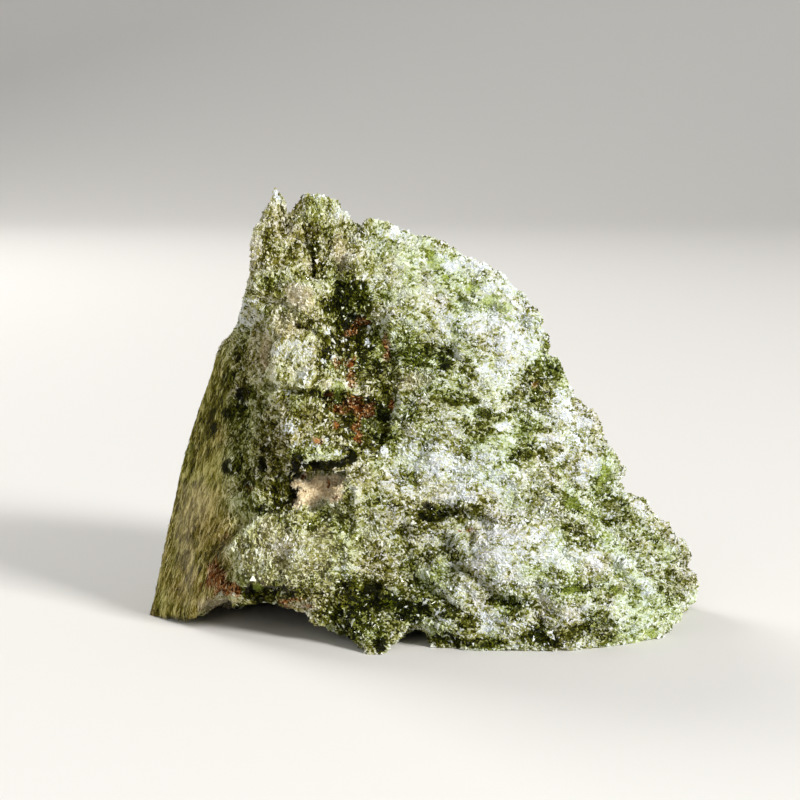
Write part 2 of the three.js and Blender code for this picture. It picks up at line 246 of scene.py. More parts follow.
# These patches are partly whitish frosted places and partly painted highlights: the tiny white glints in and
# around the hollow and near the foot, the bright rims along the top, and the sheen of the right slope
FROST_AND_HIGHLIGHTS = (
    (520, 318, 34, 16, 0.5), (548, 415, 14, 14, 0.3), (470, 262, 44, 9, 0.6), (400, 232, 22, 7, 0.5),
    (505, 287, 30, 10, 0.6), (470, 322, 26, 12, 0.5), (520, 342, 24, 14, 0.6), (505, 372, 20, 14, 0.5),
    (562, 402, 11, 15, 0.7), (577, 432, 16, 24, 0.6), (588, 472, 12, 16, 0.5), (556, 456, 8, 6, 0.7),
    (530, 540, 30, 14, 0.45), (500, 560, 24, 20, 0.35), (560, 555, 40, 12, 0.3), (622, 562, 26, 7, 0.25),
    (645, 590, 8, 14, 0.5), (300, 350, 18, 12, 0.4), (310, 375, 10, 8, 0.4), (290, 430, 9, 8, 0.6),
    (308, 446, 14, 4, 0.6), (315, 456, 24, 1.8, 0.4), (275, 196, 4, 6, 0.8), (312, 195, 16, 4, 0.5),
    (346, 213, 12, 6, 0.5), (375, 240, 14, 12, 0.3), (300, 290, 12, 12, 0.2), (245, 312, 14, 14, 0.4),
    (345, 570, 14, 8, 0.4), (300, 550, 30, 14, 0.2), (395, 495, 14, 20, 0.2), (620, 492, 8, 6, 0.5),
    (642, 510, 8, 6, 0.4), (368, 285, 8, 8, 0.4), (505, 426, 7, 4, 1.0), (541, 444, 8, 5, 0.8),
    (327, 333, 2, 3.5, 2.0), (343, 341, 2, 3, 2.0), (369, 329, 2, 4, 2.2), (368, 341, 2.5, 4, 2.2),
    (335, 357, 2.5, 2.5, 2.0), (351, 345, 5, 2, 1.6), (357, 361, 2.5, 1.5, 1.8), (325, 361, 5, 2, 1.6),
    (326, 443, 2, 4.5, 2.0), (337, 453, 3.5, 2.5, 2.2), (231, 466, 2, 3, 2.0), (385, 449, 2.5, 4, 2.2),
    (367, 452, 3, 3, 2.0), (440, 611, 5, 1.6, 2.2), (447, 620, 8, 1.6, 2.2), (393, 536, 6, 2, 1.2),
    (408, 487, 7, 2, 1.0), (543, 644, 3, 1.6, 2.2), (288, 393, 3, 3, 1.6), (612, 516, 8, 4, 0.8),
    (563, 535, 7, 5, 0.6), (490, 620, 18, 10, 0.6), (462, 592, 14, 6, 0.5), (515, 618, 14, 7, 0.5),
    (452, 472, 52, 30, 0.5), (606, 540, 16, 10, 0.3),
)
FRESH = (
    (640, 548, 30, 32, 0.9), (616, 512, 22, 18, 0.8), (205, 415, 26, 66, 0.8), (165, 590, 12, 60, 0.6),
    (262, 578, 30, 16, 0.8), (430, 265, 44, 34, 0.8), (480, 290, 40, 16, 0.9), (607, 482, 16, 24, 1.0),
    (600, 535, 18, 16, 0.7), (640, 622, 34, 22, 0.8), (672, 600, 24, 26, 0.7), (298, 385, 22, 26, 0.7),
    (500, 425, 44, 20, 0.6), (566, 510, 20, 22, 0.6), (575, 592, 30, 12, 0.8), (250, 520, 22, 14, 0.7),
    (335, 550, 12, 26, 0.7), (310, 458, 24, 8, 0.8), (246, 440, 20, 50, 0.6), (425, 575, 24, 16, 0.5),
    (540, 345, 14, 24, 0.5), (350, 300, 20, 16, 0.6), (430, 356, 24, 10, 0.6), (350, 625, 40, 20, 0.5),
    (395, 440, 12, 14, 0.6),
)
FRESH_WAVES = ((3.2, 0.5), (1.2, 0.5))
BASE_FRESHNESS = 0.4
PATCH_FRESHNESS = 0.6
RUST = (
    (362, 322, 9, 6, 0.7), (350, 335, 8, 7, 0.8), (388, 347, 4, 12, 0.7), (346, 363, 9, 5, 0.7),
    (353, 376, 6, 9, 0.7), (352, 399, 10, 6, 0.9), (362, 409, 12, 10, 1.0), (328, 393, 8, 4, 0.7),
    (340, 406, 10, 8, 0.7), (358, 426, 5, 14, 0.8), (335, 425, 5, 6, 0.6), (392, 404, 4, 5, 0.9),
    (421, 398, 3, 4, 0.6), (410, 388, 12, 6, 0.25), (537, 384, 5, 5, 0.6), (216, 585, 11, 14, 1.0),
    (230, 590, 12, 7, 1.0), (214, 570, 5, 9, 1.0), (465, 530, 10, 2.5, 0.6), (318, 442, 4, 4, 0.8),
    (288, 600, 10, 5, 0.7), (294, 606, 14, 5, 0.6), (265, 362, 5, 12, 0.3), (250, 488, 4, 4, 0.6),
    (224, 535, 6, 6, 0.5), (400, 368, 5, 8, 0.3), (329, 485, 2.2, 5, 1.0), (312, 483, 2.5, 7, 0.6),
    (305, 491, 4, 2.5, 0.6), (335, 498, 3, 2.5, 0.8), (304, 476, 4, 4, 0.7), (316, 498, 3.5, 2.5, 0.7),
)
TAN = (
    (322, 486, 22, 9, 1.6), (311, 496, 13, 7, 1.4), (334, 494, 9, 9, 1.4), (297, 504, 4, 5, 1.2),
    (297, 294, 14, 12, 0.45), (341, 245, 6, 22, 0.25), (266, 356, 5, 14, 0.35), (285, 322, 12, 14, 0.2),
    (186, 530, 12, 40, 0.2), (200, 498, 10, 20, 0.2), (432, 490, 20, 14, 0.15), (420, 382, 20, 7, 0.2),
    (290, 550, 50, 34, 0.12), (214, 604, 20, 6, 0.5),
)
GLASS = (
    (435, 262, 8, 9, 0.8), (445, 278, 3, 4, 0.8), (470, 286, 9, 5, 0.8), (490, 300, 10, 5, 0.9),
    (506, 308, 9, 5, 1.0), (510, 320, 6, 3, 0.7), (392, 252, 6, 5, 0.5), (650, 632, 8, 6, 0.9),
    (258, 586, 5, 5, 0.8), (190, 448, 9, 8, 0.4), (337, 385, 6, 10, 0.6), (612, 592, 8, 4, 0.5),
    (606, 478, 8, 10, 0.8), (572, 505, 8, 7, 0.6), (570, 592, 10, 6, 0.6), (608, 540, 7, 7, 0.6),
    (412, 258, 12, 16, 0.3), (500, 610, 10, 6, 0.4),
)

# Colours, each from the darkest to the palest. Greens: olive on the shaded left, cool on the lit right, as
# painted shade and light
SHADED_SIDE_GREENS = (
    (0.0, (0.006, 0.006, 0)), (0.16, (0.045, 0.043, 0)), (0.3, (0.1, 0.097, 0.004)),
    (0.42, (0.18, 0.176, 0.024)), (0.54, (0.3, 0.292, 0.09)), (0.68, (0.45, 0.44, 0.22)),
    (0.84, (0.6, 0.595, 0.43)), (1.0, (0.72, 0.725, 0.63)),
)
LIT_SIDE_GREENS = (
    (0.0, (0.006, 0.007, 0)), (0.16, (0.042, 0.046, 0)), (0.3, (0.098, 0.104, 0.006)),
    (0.42, (0.17, 0.178, 0.03)), (0.54, (0.3, 0.31, 0.11)), (0.68, (0.47, 0.48, 0.29)),
    (0.84, (0.62, 0.635, 0.54)), (1.0, (0.71, 0.74, 0.755)),
)
FACE_GREENS = (
    (0.0, (0.006, 0.005, 0)), (0.3, (0.056, 0.044, 0)), (0.6, (0.225, 0.178, 0.014)),
    (1.0, (0.76, 0.66, 0.31)),
)
SANDY = ((0.15, (0.52, 0.4, 0.22)), (0.4, (0.74, 0.62, 0.41)), (0.8, (0.84, 0.75, 0.55)))
RUSTY = (
    (0.2, (0.008, 0.003, 0)), (0.36, (0.07, 0.018, 0.001)), (0.52, (0.2, 0.06, 0.006)),
    (0.66, (0.4, 0.18, 0.045)), (0.8, (0.66, 0.5, 0.28)),
)
GREENER = (0.86, 1.03, 0.6, 1)  # what the greens are multiplied by in the fresh places
YELLOWER = (1.07, 0.975, 1.04, 1)  # and elsewhere
TINT_FADE = 0.7  # how much of that the palest green is without
FROST_AND_HIGHLIGHT_WHITE = (0.71, 0.75, 0.79, 1)  # bluish white for the frosted places and their painted highlights
WINDOW = (0.33, 0.41, 0.06, 1)  # the clearer crystal

# The materials' fine noise: its size, detail and roughness
SPECKLE = (0.2, 3, 0.7)
GRAIN_SPECKLE = (0.25, 2, 0.6)
CLOUD = (0.9, 4, 0.6)

# Stains and windows: how strongly the noise breaks them up, and the amounts that they start and are full at
TAN_LEAST = 0.4
TAN_CLOUD = 1.2
RUST_CLOUD = 2.6
RUST_SPECKLE = 1.4
RUST_EDGE = (0.35, 0.8)
RUST_REACH = (0.1, 0.6)
WINDOW_SPECKLE = 0.8
WINDOW_EDGE = (0.3, 0.7)
WINDOW_STRENGTH = 0.6

# What shows between the grains: its paleness, drawn out, lowered and with noise added, and its dullness
STONE_CONTRAST = 1.2
STONE_DROP = 0.4
STONE_SPECKLE = 1.3
STONE_CLOUD = 0.5
STONE_DULLNESS = 0.6
WINDOW_POLISH = 0.35
STONE_SPECULAR = 0.1
BUMP_STRENGTH = 0.8
BUMP_DEPTH = 0.1

# The grains: how far their shades spread, and the chances from which one shines or has a clear coat
LEAST_SPREAD = 0.5
MORE_SPREAD = 1.9  # in the middle shades
FACE_EVENNESS = 0.35
SPECKLE_SPREAD = 0.3
LEAST_SHADE = 0.42  # as a share of the paleness
# how strongly the frosted places and their painted highlights whiten the paler grains, and from which shades
FROST_AND_HIGHLIGHT_GAIN = 1.6
FROST_AND_HIGHLIGHT_SHADES = (0.6, 0.9)
STAIN_CHANCE = 0.7  # how much of a stain's shade is the grain's own
GRAIN_DULLNESS = 0.55
SHINING = (0.75, 0.8)
SHINE = 0.35
COATED = (0.88, 0.9)
COAT_ROUGHNESS = 0.12
GRAIN_SPECULAR = 0.12

# What starts each use of the noise, so that no two of them are alike
LUMP_SEED = 11
SPLINTER_SEED = 37
OUTLINE_SEEDS = (41, 42)
BACK_FACE_SEED = 55
RIB_SEED = 71
PATCH_SEEDS = (90, 91)
MOTTLE_SEED = 5
STREAK_SEED = 6
BACK_MOTTLE_SEED = 8
FRESH_SEED = 60

# The sine that even fractions come from: the weights in its angle, and its size
CELL_WEIGHTS = np.array([127.1, 311.7, 74.7])
SEED_WEIGHT = 19.19
TURN_WEIGHT = 1.7
SINE_SIZE = 43758.5453

# The camera, on a long lens a little above the stone
LOOK_AT = Vector((-1.92, -0.64, 16.94)) * MM
CAMERA_DISTANCE = 170.3 * MM
CAMERA_HEIGHT_ANGLE = math.radians(8)
LENS = 100
SENSOR = 36
NEAREST_SEEN = 10 * MM
PICTURE_SIZE = 800
VIEW_BACK = np.array([0, -math.cos(CAMERA_HEIGHT_ANGLE), math.sin(CAMERA_HEIGHT_ANGLE)])

# The floor and the light, in metres. A light has a name, a place, a width, a power in watts and a colour
FLOOR_WIDTH = 3.0
FLOOR_FRONT = -1.2
FLOOR_BACK = 0.5
FLOOR_BEND = 0.4
FLOOR_TOP = 1.6
FLOOR_STEPS = 24
FLOOR_COLOUR = (0.8, 0.79, 0.77, 1)
FLOOR_ROUGHNESS = 0.8
LIGHTS = (
    ("key light", (0.40, -0.36, 0.27), 0.13, 4.4, (1.0, 0.985, 0.96)),
    ("fill light", (-0.3, -0.5, 0.3), 0.4, 0.5, (1.0, 0.98, 0.94)),
    ("back light", (-0.3, 0.35, 0.3), 0.25, 1.7, (1.0, 0.98, 0.95)),
)
LIGHTS_AIM = (0, 0, 0.015)
ROOM_COLOUR = (0.95, 0.945, 0.93, 1)
ROOM_STRENGTH = 0.3


def fractions(cells, seed, count):
    """Some even fractions for each row of whole numbers: what follows the decimal point of a large sine,
    whose angle is the weighted sum of the row and the seed."""
    angle = cells @ CELL_WEIGHTS + seed * SEED_WEIGHT
    return [np.modf(np.abs(np.sin(angle + TURN_WEIGHT * turn)) * SINE_SIZE)[0] for turn in range(count)]


def waves(points, size, seed):
    """Smooth noise from -1 to 1: a fraction at each corner of a cell, blended across it by 3t^2 - 2t^3."""
    scaled = points / size
    base = np.floor(scaled)
    t = scaled - base
    t = t * t * (3 - 2 * t)
    total = np.zeros(len(points))
    for corner in np.ndindex(2, 2, 2):
        weight = np.prod(np.where(np.array(corner) == 1, t, 1 - t), axis=1)
        total += weight * fractions(base + corner, seed, 1)[0]
    return total * 2 - 1


def layered(points, layers, seed):
    """Smooth noise of several sizes added up, each with its own strength."""
    return sum(strength * waves(points, size, seed + size) for size, strength in layers)


def wander(points, size, seeds):
    """Smooth shifts to the side and down, from -1 to 1."""
    return np.stack([waves(points, size, seed) for seed in seeds], axis=1)


def facets(points, size, tilt, seed):
    """Lumps with sloping faces: the highest, over a point's 27 neighbour cells, of a slope through a place
    in the cell less the square of the distance to that place, both in cells."""
    scaled = points / size
    base = np.floor(scaled)
    best = np.full(len(points), -np.inf)
    for step in np.ndindex(3, 3, 3):
        cell = base + np.array(step) - 1
        rolls = fractions(cell, seed, 6)
        away = scaled - cell - np.stack(rolls[:3], axis=1)
        slope = (np.stack(rolls[3:], axis=1) - 0.5) * 2 * tilt
        best = np.maximum(best, (away * slope).sum(axis=1) - (away * away).sum(axis=1))
    return best - best.mean()


def stretched(points, line):
    """The points drawn together along a line, so that noise read at them is longer along it."""
    line = line / np.linalg.norm(line)
    return points - np.outer(points @ line, line) * (1 - 1 / SPLINTER_STRETCH)


def ramp(values, low, high):
    """0 below low, 1 above high, and 3t^2 - 2t^3 between."""
    t = np.clip((values - low) / (high - low), 0, 1)
    return t * t * (3 - 2 * t)


def softened(points, edges):
    """Each point moved a share of the way to the middle of its neighbours, some rounds over."""
    ends = np.concatenate([edges, edges[:, ::-1]])
    count = np.bincount(ends[:, 0], minlength=len(points))[:, None]
    for _ in range(SOFTEN_ROUNDS):
        sums = [np.bincount(ends[:, 0], points[ends[:, 1], axis], len(points)) for axis in range(3)]
        points = points + (np.stack(sums, axis=1) / count - points) * SOFTEN_SHARE
    return points


def flat_face(points):
    """1 on the flat left face, falling to 0 away from it and towards its front and top edges, and low
    on its rougher strip."""
    near = 1 - ramp((FACE_POINT - points) @ FACE_OUT, *FACE_DEPTHS)
    x, y = on_picture(points).T
    rough = ramp(x, *ROUGH_FROM) * (1 - ramp(y, *ROUGH_ABOVE)) * ROUGH_SHARE
    return near * ramp(points[:, 1], *FACE_FRONT) * (1 - ramp(points[:, 2], *FACE_TOP)) * (1 - rough)


def ribs(points):
    """Waves across the rib line that hardly change along it."""
    line = RIB_LINE / np.linalg.norm(RIB_LINE)
    across = np.cross(FACE_OUT, line)
    drawn = np.stack([points @ across, points @ line * RIB_CHANGE, np.zeros(len(points))], axis=1)
    return layered(drawn, RIBS, RIB_SEED)


def on_picture(points):
    """Where the camera sees each point, in pixels: its distance to the side and down from the line of sight,
    times the lens's length in pixels, over its distance along that line."""
    eye = np.array(LOOK_AT) / MM + VIEW_BACK * CAMERA_DISTANCE / MM
    side = np.array([1.0, 0.0, 0.0])
    up = np.cross(VIEW_BACK, side)
    away = points - eye
    scale = PICTURE_SIZE * LENS / SENSOR / -(away @ VIEW_BACK)
    return PICTURE_SIZE / 2 + np.stack([away @ side, -(away @ up)], axis=1) * scale[:, None]


def towards(outward):
    """1 for faces that look towards the camera and 0 for those that look well away from it."""
    return ramp(outward @ VIEW_BACK, *SEEN_FROM)


def off_line(places, corners):
    """Each place's distance to a line of straight stretches, below zero on the line's left."""
    nearest = np.full(len(places), np.inf)
    for start, end in zip(np.array(corners[:-1], float), np.array(corners[1:], float)):
        step = end - start
        along = np.clip((places - start) @ step / (step @ step), 0, 1)
        away = places - start - along[:, None] * step
        side = np.where(step[0] * away[:, 1] - step[1] * away[:, 0] < 0, -1, 1)
        distance = side * np.hypot(away[:, 0], away[:, 1])
        nearest = np.where(np.abs(distance) < np.abs(nearest), distance, nearest)
    return nearest


def front_forms(points, outward):
    """The height that the front's forms add. With the distance counted in half widths, a line falls off as
    e to minus its square, a ledge is that times the distance, and a swelling falls off as e to minus its
    fourth power."""
    places = on_picture(points)
    for size, reach in OUTLINE_WAVES:
        places = places + reach * wander(points * PIXELS_PER_MM, size, OUTLINE_SEEDS)
    total = np.zeros(len(points))
    for x, y, wide, high, height in SWELLINGS:
        away = (places - (x, y)) / (wide, high)
        total += height * np.exp(-((away * away).sum(axis=1) ** 2))
    for width, height, corners in LINES:
        total += height * np.exp(-((off_line(places, corners) / width) ** 2))
    for width, height, corners in LEDGES:
        away = off_line(places, corners) / width
        total -= height * LEDGE_LIFT * away * np.exp(-(away**2))
    return total * towards(outward)


def lumps(points):
    """Lumps of falling size, the smallest drawn out along the splinters of their part of the stone."""
    total = sum(height * facets(points, size, tilt, LUMP_SEED + size) for size, height, tilt in LUMPS) - SUNK
    size, height, tilt = SPLINTERS
    return total + along_grain(points, lambda drawn: height * facets(drawn, size, tilt, SPLINTER_SEED))


def grain_shares(points):
    """How far the splinters stand upright, lie level, slope, and follow the ribs of the flat face, in the
    order of GRAIN_LINES."""
    upright = 1 - ramp(points[:, 0] - UPRIGHT_LEAN * (points[:, 2] - UPRIGHT_HEIGHT), *UPRIGHT_BOUND)
    level = ramp(points[:, 0] - LEVEL_LEAN * points[:, 2], *LEVEL_BOUND)
    flat = flat_face(points)
    return [share * (1 - flat) for share in (upright, level, 1 - np.maximum(upright, level))] + [flat]


def along_grain(points, pattern):
    """A pattern drawn out along the splinters of each part of the stone."""
    shares = grain_shares(points)
    return sum(share * pattern(stretched(points, line)) for share, line in zip(shares, GRAIN_LINES))


def patches(points, outward, spots):
    """The strongest of soft round patches at each point of the front. Each falls from its strength in the
    middle to about half of it at its half width and half height, with wandering edges."""
    places = on_picture(points)
    shift = sum(reach * wander(points, size, PATCH_SEEDS) for size, reach in PATCH_WAVES)
    strength = np.zeros(len(points))
    for x, y, wide, high, most in spots:
        away = (places - (x, y)) / (wide, high) + shift
        strength = np.maximum(strength, most * (1 - ramp((away * away).sum(axis=1), *PATCH_EDGE)))
    return strength * towards(outward)


def positions(mesh):
    """Each point of a mesh, in millimetres."""
    places = np.empty(len(mesh.vertices) * 3)
    mesh.vertices.foreach_get("co", places)
    return places.reshape(-1, 3) / MM


def directions(mesh):
    """The outward direction at each point of a mesh."""
    outward = np.empty(len(mesh.vertices) * 3)
    mesh.vertices.foreach_get("normal", outward)
    return outward.reshape(-1, 3)


def move_to(mesh, points):
    mesh.vertices.foreach_set("co", (points * MM).ravel())
    mesh.update()


def keep_on_surface(mesh, name, values):
    attribute = mesh.attributes.new(name, "FLOAT", "POINT")
    attribute.data.foreach_set("value", values.astype(np.float32))


def fine_copy(node):
    """The node's mesh, merged and then rebuilt from small squares."""
    piece = bpy.data.objects.new("stone", node.data.copy())
    bpy.context.scene.collection.objects.link(piece)
    merged = bmesh.new()
    merged.from_mesh(piece.data)
    bmesh.ops.remove_doubles(merged, verts=merged.verts, dist=MERGE_WITHIN * MM)
    merged.to_mesh(piece.data)
    merged.free()
    squares = piece.modifiers.new("squares", "REMESH")
    squares.mode = "VOXEL"
    squares.voxel_size = GRID * MM
    graph = bpy.context.evaluated_depsgraph_get()
    piece.data = bpy.data.meshes.new_from_object(piece.evaluated_get(graph))
    piece.modifiers.clear()
    return piece


def roughened(piece):
    """Pushes the stone's surface in and out along its own direction by lumps, ribs and the front's forms, but
    not at the ground, and draws its peaks upwards as cones."""
    mesh = piece.data
    edges = np.empty(len(mesh.edges) * 2, dtype=np.int64)
    mesh.edges.foreach_get("vertices", edges)
    points = softened(positions(mesh), edges.reshape(-1, 2))
    move_to(mesh, points)
    outward = directions(mesh)
    flat = flat_face(points)
    behind = 1 - towards(outward)
    size, height, tilt = BACK_FACES
    broad = behind * (1 - flat) * height * facets(points, size, tilt, BACK_FACE_SEED)
    push = lumps(points) * (1 - flat) * (1 + BACK_ROUGHNESS * behind) + ribs(points) * flat
    push += front_forms(points, outward) + broad
    moved = points + outward * (push * ramp(points[:, 2], 0, GROUND_FADE))[:, None]
    for x, y, z, width, height in PEAKS:
        away = np.hypot(points[:, 0] - x, PEAK_NARROWING * (points[:, 1] - y)) / width
        moved[:, 2] += height * np.clip(1 - away, 0, 1) * ramp(points[:, 2], z - PEAK_START, z)
    moved[:, 2] = np.maximum(moved[:, 2], 0)
    move_to(mesh, moved)
    mesh.polygons.foreach_set("use_smooth", np.ones(len(mesh.polygons), dtype=bool))


def paleness(points, outward):
    """From 0 for green-black to 1 for white: mottled, paler to the right as painted light, paler on the
    front's raised forms and darker in its dents as painted light and shade, and following the patches, which
    hold painted highlights and painted shade too.
    """
    pale = BASE_PALENESS + layered(points, MOTTLE, MOTTLE_SEED)
    pale += sum(along_grain(points, lambda drawn: strength * waves(drawn, size, STREAK_SEED))
                for size, strength in STREAKS)
    pale += RELIEF_PAINTED_SHADE * np.clip(front_forms(points, outward), *RELIEF_LIMITS)
    pale += (1 - towards(outward)) * (BACK_PALENESS + layered(points, BACK_MOTTLE, BACK_MOTTLE_SEED))
    pale += RIGHT_PAINTED_LIGHT * ramp(on_picture(points)[:, 0], *RIGHT_FROM)
    pale += FROST_AND_HIGHLIGHT_PALENESS * patches(points, outward, FROST_AND_HIGHLIGHTS) - DARK_AND_SHADE_PALENESS * patches(points, outward, DARK_AND_SHADE)
    return np.minimum(pale, MOST_PALE)


def freshness(points, outward):
    """From 0 for yellowish to 1 for fresh green: smooth waves and patches."""
    fresh = BASE_FRESHNESS + layered(points, FRESH_WAVES, FRESH_SEED)
    return np.clip(fresh + PATCH_FRESHNESS * patches(points, outward, FRESH), 0, 1)


def finish_values(points, outward):
    """What the finishes read, by name."""
    values = {"pale": paleness(points, outward), "flat": flat_face(points)}
    values["cool"] = ramp(on_picture(points)[:, 0], *LIT_SIDE_FROM)
    values["fresh"] = freshness(points, outward)
    for name, spots in {"rust": RUST, "tan": TAN, "glass": GLASS, "frost": FROST_AND_HIGHLIGHTS}.items():
        values[name] = patches(points, outward, spots)
    return values


def grain_places(stone_mesh, random):
    """Places, outward directions and splinter lines for a layer of grains, spread over the surface. Each lies
    in a triangle drawn by its area. With r the root of one even fraction and s another, it is at
    (1 - r) a + r (1 - s) b + r s c."""
    stone_mesh.calc_loop_triangles()
    corners = np.empty(len(stone_mesh.loop_triangles) * 3, dtype=np.int64)
    stone_mesh.loop_triangles.foreach_get("vertices", corners)
    corners = corners.reshape(-1, 3)
    points = positions(stone_mesh)
    outward = directions(stone_mesh)
    a, b, c = points[corners[:, 0]], points[corners[:, 1]], points[corners[:, 2]]
    area = np.linalg.norm(np.cross(b - a, c - a), axis=1) * (outward[corners[:, 0], 2] > UNDERSIDE)
    area *= 1 + (FRONT_SHARE - 1) * towards(outward[corners[:, 0]])
    drawn = random.choice(len(area), GRAIN_COUNT, p=area / area.sum())
    root, share = np.sqrt(random.random(GRAIN_COUNT))[:, None], random.random(GRAIN_COUNT)[:, None]
    places = (1 - root) * a[drawn] + root * (1 - share) * b[drawn] + root * share * c[drawn]
    line = sum(part[:, None] * line for part, line in zip(grain_shares(places), GRAIN_LINES))
    return places, outward[corners[drawn, 0]], line


def unit(vectors):
    return vectors / np.linalg.norm(vectors, axis=1)[:, None]


def many_crystals(name, corners, sides, values):
    """One mesh of many small closed crystals: corners holds each one's corners, and sides the triangles
    between them. Its map gives each crystal a small square of its own, with its corners on a circle there."""
    count, each = corners.shape[:2]
    corners[..., 2] = np.maximum(corners[..., 2], 0)
    faces = np.array(sides)[None] + np.arange(count)[:, None, None] * each
    mesh = bpy.data.meshes.new(name)
    mesh.from_pydata((corners.reshape(-1, 3) * MM).tolist(), [], faces.reshape(-1, 3).tolist())
    for key, value in values.items():
        keep_on_surface(mesh, key, np.repeat(value, each))
    across = math.ceil(math.sqrt(count))
    squares = np.stack([np.arange(count) % across, np.arange(count) // across], axis=1) + 0.5
    turns = np.arange(each) * 2 * math.pi / each
    on_map = (squares[:, None] + MAP_SHARE * np.stack([np.cos(turns), np.sin(turns)], axis=1)) / across
    mesh.uv_layers.new(name="OFBake").data.foreach_set("uv", on_map.reshape(-1, 2)[faces.ravel()].ravel())
    piece = bpy.data.objects.new(name, mesh)
    bpy.context.scene.collection.objects.link(piece)
    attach(piece, "root")
    return piece


def grains(stone_mesh, name, lengths, seed):
    """A layer of splinters, longest along the splinter lines, with the shade of its place and a chance of
    its own for each."""
    random = np.random.default_rng(seed)
    places, out, line = grain_places(stone_mesh, random)
    values = finish_values(places, out)
    count = len(places)
    flat = values["flat"][:, None]
    turn, tip, lean = random.normal(size=(3, count, 1)) * (1 - RIB_GRAIN_ORDER * flat)
    out = unit(out)
    along = unit(line - (line * out).sum(axis=1)[:, None] * out)
    across = np.cross(out, along)
    along = unit(along + across * np.clip(turn * GRAIN_TURN, -MOST_TURN, MOST_TURN) + out * tip * GRAIN_TIP)
    out = unit(out + across * lean * GRAIN_TIP - along * (out * along).sum(axis=1)[:, None])
    across = np.cross(out, along)
    darkest, palest = DARK_BETWEEN
    dark = (values["pale"] > darkest) & (values["pale"] < palest) & (values["flat"] < 0.5)
    # a few grains in the dark places are painted white and larger, as glints
    painted_glint = (random.random(count) < PAINTED_GLINT_CHANCE) & dark
    values["pale"] = np.where(painted_glint, PAINTED_GLINT_PALENESS, values["pale"])
    stretch = 1 + (RIB_GRAIN_LENGTH - 1) * flat
    long = random.uniform(*lengths, (count, 1)) * stretch * np.where(painted_glint[:, None], PAINTED_GLINT_SIZE, 1)
    wide = long * random.uniform(*GRAIN_WIDTH, (count, 1)) / stretch**2
    high = wide * random.uniform(*GRAIN_HEIGHT, (count, 1)) * (1 - RIB_GRAIN_DROP * flat)
    corners = np.empty((count, len(GRAIN_SHAPE), 3))
    for index, (x, y, z) in enumerate(GRAIN_SHAPE):
        shift = random.uniform(-GRAIN_SHIFT, GRAIN_SHIFT, (3, count, 1))
        corners[:, index] = (places + along * long * (x + shift[0]) + across * wide * (y + shift[1])
                             + out * high * (z + shift[2]))
    values["chance"] = random.random(count)
    return many_crystals(name, corners, GRAIN_SIDES, values)


class Amount:
    """A number that changes over a surface. Arithmetic on it adds Math nodes."""

    def __init__(self, finish, socket):
        self.finish = finish
        self.socket = socket

    def maths(self, operation, *values, clamp=False):
        sockets = dict(enumerate(values))
        node = self.finish.node("ShaderNodeMath", {"operation": operation, "use_clamp": clamp}, sockets)
        return Amount(self.finish, node.outputs[0])

    def __add__(self, other):
        return self.maths("ADD", self, other)

    __radd__ = __add__

    def __sub__(self, other):
        return self.maths("SUBTRACT", self, other)

    def __rsub__(self, other):
        return self.maths("SUBTRACT", other, self)

    def __mul__(self, other):
        return self.maths("MULTIPLY", self, other)

    __rmul__ = __mul__

    def at_least(self, other):
        return self.maths("MAXIMUM", self, other)

    def swing(self, strength):
        """How far it is from a half, times a strength."""
        return (self - 0.5) * strength

    def clamped(self):
        return self.maths("MULTIPLY", self, 1, clamp=True)

    def above(self, low, high):
        """0 below low and 1 above high."""
        return self.maths("MULTIPLY", self - low, 1 / (high - low), clamp=True)


class Finish:
    """A material being made."""

    def __init__(self, name):
        self.material = bpy.data.materials.new(name)
        self.material.use_nodes = True
        self.tree = self.material.node_tree
        self.tree.nodes.clear()

    def node(self, kind, settings=None, sockets=None):
        """Adds a node, sets its settings and then gives its sockets their values or links."""
        made = self.tree.nodes.new(kind)
        for name, value in (settings or {}).items():
            if name == "stops":
                self.set_stops(made.color_ramp, value)
            else:
                setattr(made, name, value)
        for name, value in (sockets or {}).items():
            value = value.socket if isinstance(value, Amount) else value
            if isinstance(value, bpy.types.NodeSocket):
                self.tree.links.new(value, made.inputs[name])
            else:
                made.inputs[name].default_value = value
        return made

    def set_stops(self, ramp_of, stops):
        while len(ramp_of.elements) < len(stops):
            ramp_of.elements.new(1)
        for element, (place, colour) in zip(ramp_of.elements, stops):
            element.position = place
            element.color = (*colour, 1)

    def attribute(self, name):
        node = self.node("ShaderNodeAttribute", {"attribute_name": name})
        return Amount(self, node.outputs["Fac"])

    def noise(self, place, size, detail, roughness):
        """Smooth noise with waves of a size in millimetres."""
        sockets = {"Vector": place, "Scale": 1 / (size * MM), "Detail": detail, "Roughness": roughness}
        return Amount(self, self.node("ShaderNodeTexNoise", {}, sockets).outputs[0])

    def colours(self, amount, stops):
        return self.node("ShaderNodeValToRGB", {"stops": stops}, {0: amount}).outputs[0]

    def mixed(self, amount, first, second, blend="MIX"):
        settings = {"data_type": "RGBA", "blend_type": blend}
        return self.node("ShaderNodeMix", settings, {0: amount, 6: first, 7: second}).outputs[2]

    def greens(self, amount, flat):
        """The stone's greens: olive on its shaded left and cool on its lit right, as painted shade and light,
        browner on its flat face, all tinted.
        """
        tables = (SHADED_SIDE_GREENS, LIT_SIDE_GREENS, FACE_GREENS)
        shaded_side, cool, brown = (self.colours(amount, stops) for stops in tables)
        body = self.mixed(flat, self.mixed(self.attribute("cool"), shaded_side, cool), brown)
        tint = self.mixed(self.attribute("fresh"), YELLOWER, GREENER)
        return self.mixed((1 - amount * TINT_FADE).clamped(), body, tint, "MULTIPLY")


